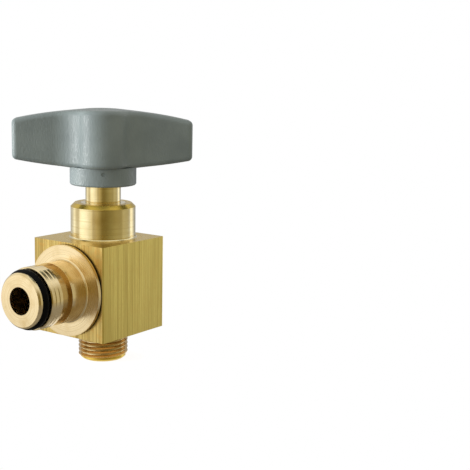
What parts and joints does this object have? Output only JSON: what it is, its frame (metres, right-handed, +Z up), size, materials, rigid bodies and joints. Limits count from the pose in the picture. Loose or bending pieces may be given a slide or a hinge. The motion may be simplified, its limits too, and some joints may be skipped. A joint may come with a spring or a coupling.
{
  "type": "boiler filling valve",
  "caption": "Angle-pattern screw-down filling valve: square brass body, threaded inlet tail, side spigot with an O-ring and clip groove, and a grey wing handle on a lifting stem.",
  "frame": {"origin": "on the axis of the stem and the threaded tail, at the underside of the square block where the tail begins", "axes": "+Z up the stem towards the handle, -Y out along the outlet spigot, +X to the right when facing the outlet's open end"},
  "size_m": [0.0346, 0.0435, 0.0606],
  "materials": {
    "brass_drawn": "drawn bar with fine lengthwise streaks, ends faced bright",
    "brass_turned": "fine turned, bright",
    "rubber_black": "satin black nitrile",
    "plastic_grey": "moulded grey, satin with a fine grain",
    "steel": "bright zinc"
  },
  "bodies": {
    "body": {"valve_body": "brass_drawn", "outlet_spigot": "brass_turned", "spigot_o_ring": "rubber_black", "flange_gasket": "rubber_black", "gland_bush": "brass_turned", "gland_o_ring": "rubber_black"},
    "closure": {"jumper": "brass_turned", "jumper_ring": "steel", "seat_washer": "rubber_black", "washer_screw": "brass_turned"},
    "spindle": {"stem": "brass_turned", "stem_o_ring_lower": "rubber_black", "stem_o_ring_upper": "rubber_black", "handle": "plastic_grey", "handle_screw": "steel", "screw_cap": "plastic_grey"}
  },
  "joints": [
    {"name": "stem_lift", "type": "slide", "parent": "body", "child": "closure", "axis": [0, 0, 1], "range_m": [0, 0.00263]},
    {"name": "handle_turn", "type": "hinge", "parent": "closure", "child": "spindle", "pos_m": [0, 0, 0.046], "axis": [0, 0, 1], "range_deg": [0, 630]}
  ],
  "couplings": [
    {"joint": "handle_turn", "follows": "stem_lift", "rad_per_m": 4188.8}
  ]
}
